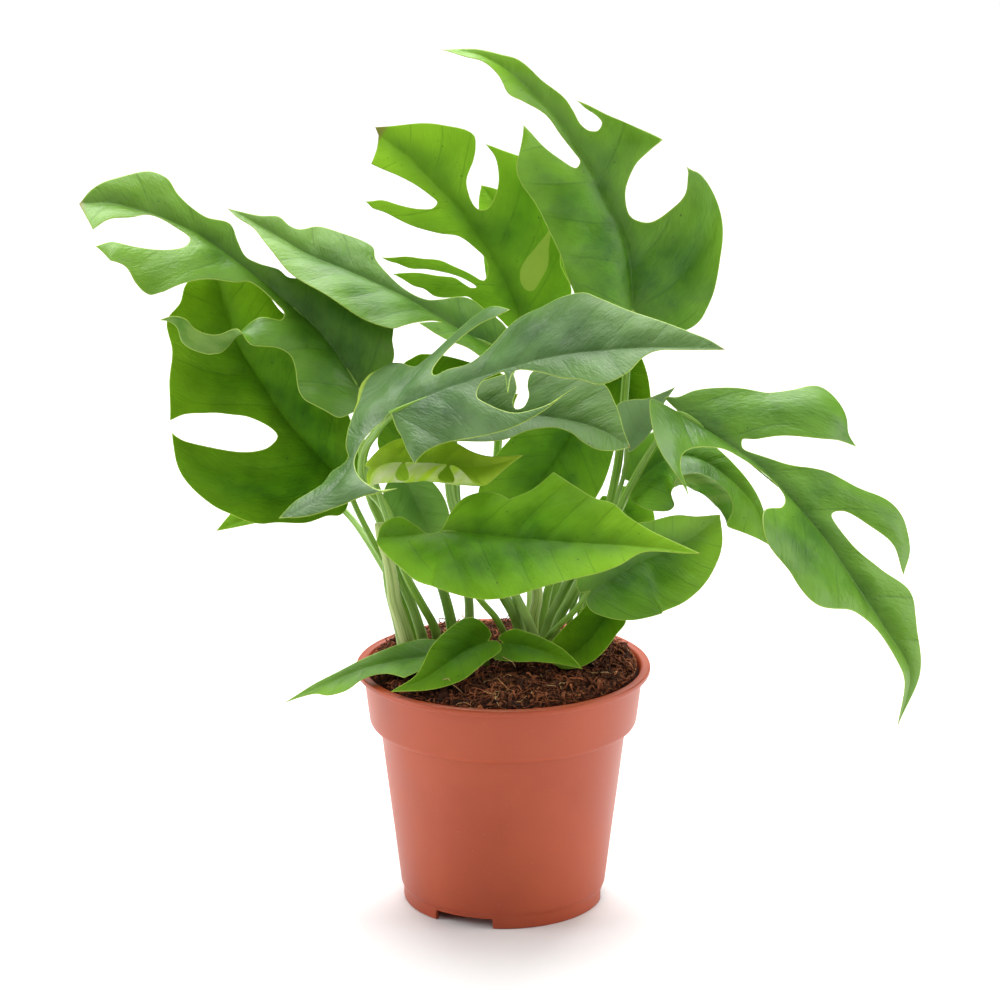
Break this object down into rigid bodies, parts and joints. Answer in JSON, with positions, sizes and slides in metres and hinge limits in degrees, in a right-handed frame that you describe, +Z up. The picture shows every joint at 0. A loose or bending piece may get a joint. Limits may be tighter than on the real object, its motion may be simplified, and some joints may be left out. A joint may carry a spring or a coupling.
{
  "type": "potted monstera plant",
  "caption": "Small split-leaf monstera in a round tapered nursery pot with a banded rim, with arching stalks, cut leaf blades and a coir soil surface.",
  "frame": {"origin": "on the pot's axis at the underside of its foot ring, which is also the middle of the whole plant's outline on the ground to within a millimetre", "axes": "+Z up along the pot's axis; -Y towards the front from which the plant was pictured; +X to the right seen from that front"},
  "size_m": [0.3351, 0.175, 0.3555],
  "materials": {
    "pot_plastic": "satin",
    "soil_mix": "matte",
    "stem_sheath": "satin",
    "leaf_pale": "satin",
    "leaf_deep": "satin",
    "leaf_new": "satin"
  },
  "bodies": {
    "root": {"pot": "pot_plastic", "soil": "soil_mix", "stem_left": "stem_sheath", "stem_right": "stem_sheath", "leaf_front_top": "leaf_pale", "leaf_left_long": "leaf_pale", "leaf_left_curled": "leaf_pale", "leaf_left_hanging": "leaf_deep", "leaf_top_centre": "leaf_deep", "leaf_top_right": "leaf_deep", "leaf_right_drooping": "leaf_pale", "leaf_right_curled": "leaf_deep", "leaf_right_heart": "leaf_deep", "leaf_front_heart": "leaf_deep", "leaf_back_centre": "leaf_deep", "leaf_centre_shaded": "leaf_pale", "leaf_back_right": "leaf_deep", "leaf_right_young": "leaf_new", "leaf_new_rolled": "leaf_new", "leaf_middle_small": "leaf_deep", "leaf_back_small": "leaf_deep", "leaf_low_right": "leaf_deep", "leaf_low_pointed": "leaf_deep", "leaf_low_front": "leaf_deep", "leaf_low_left": "leaf_deep", "leaf_back_left": "leaf_deep", "leaf_back_top": "leaf_deep", "leaf_middle_back": "leaf_deep"}
  },
  "joints": []
}
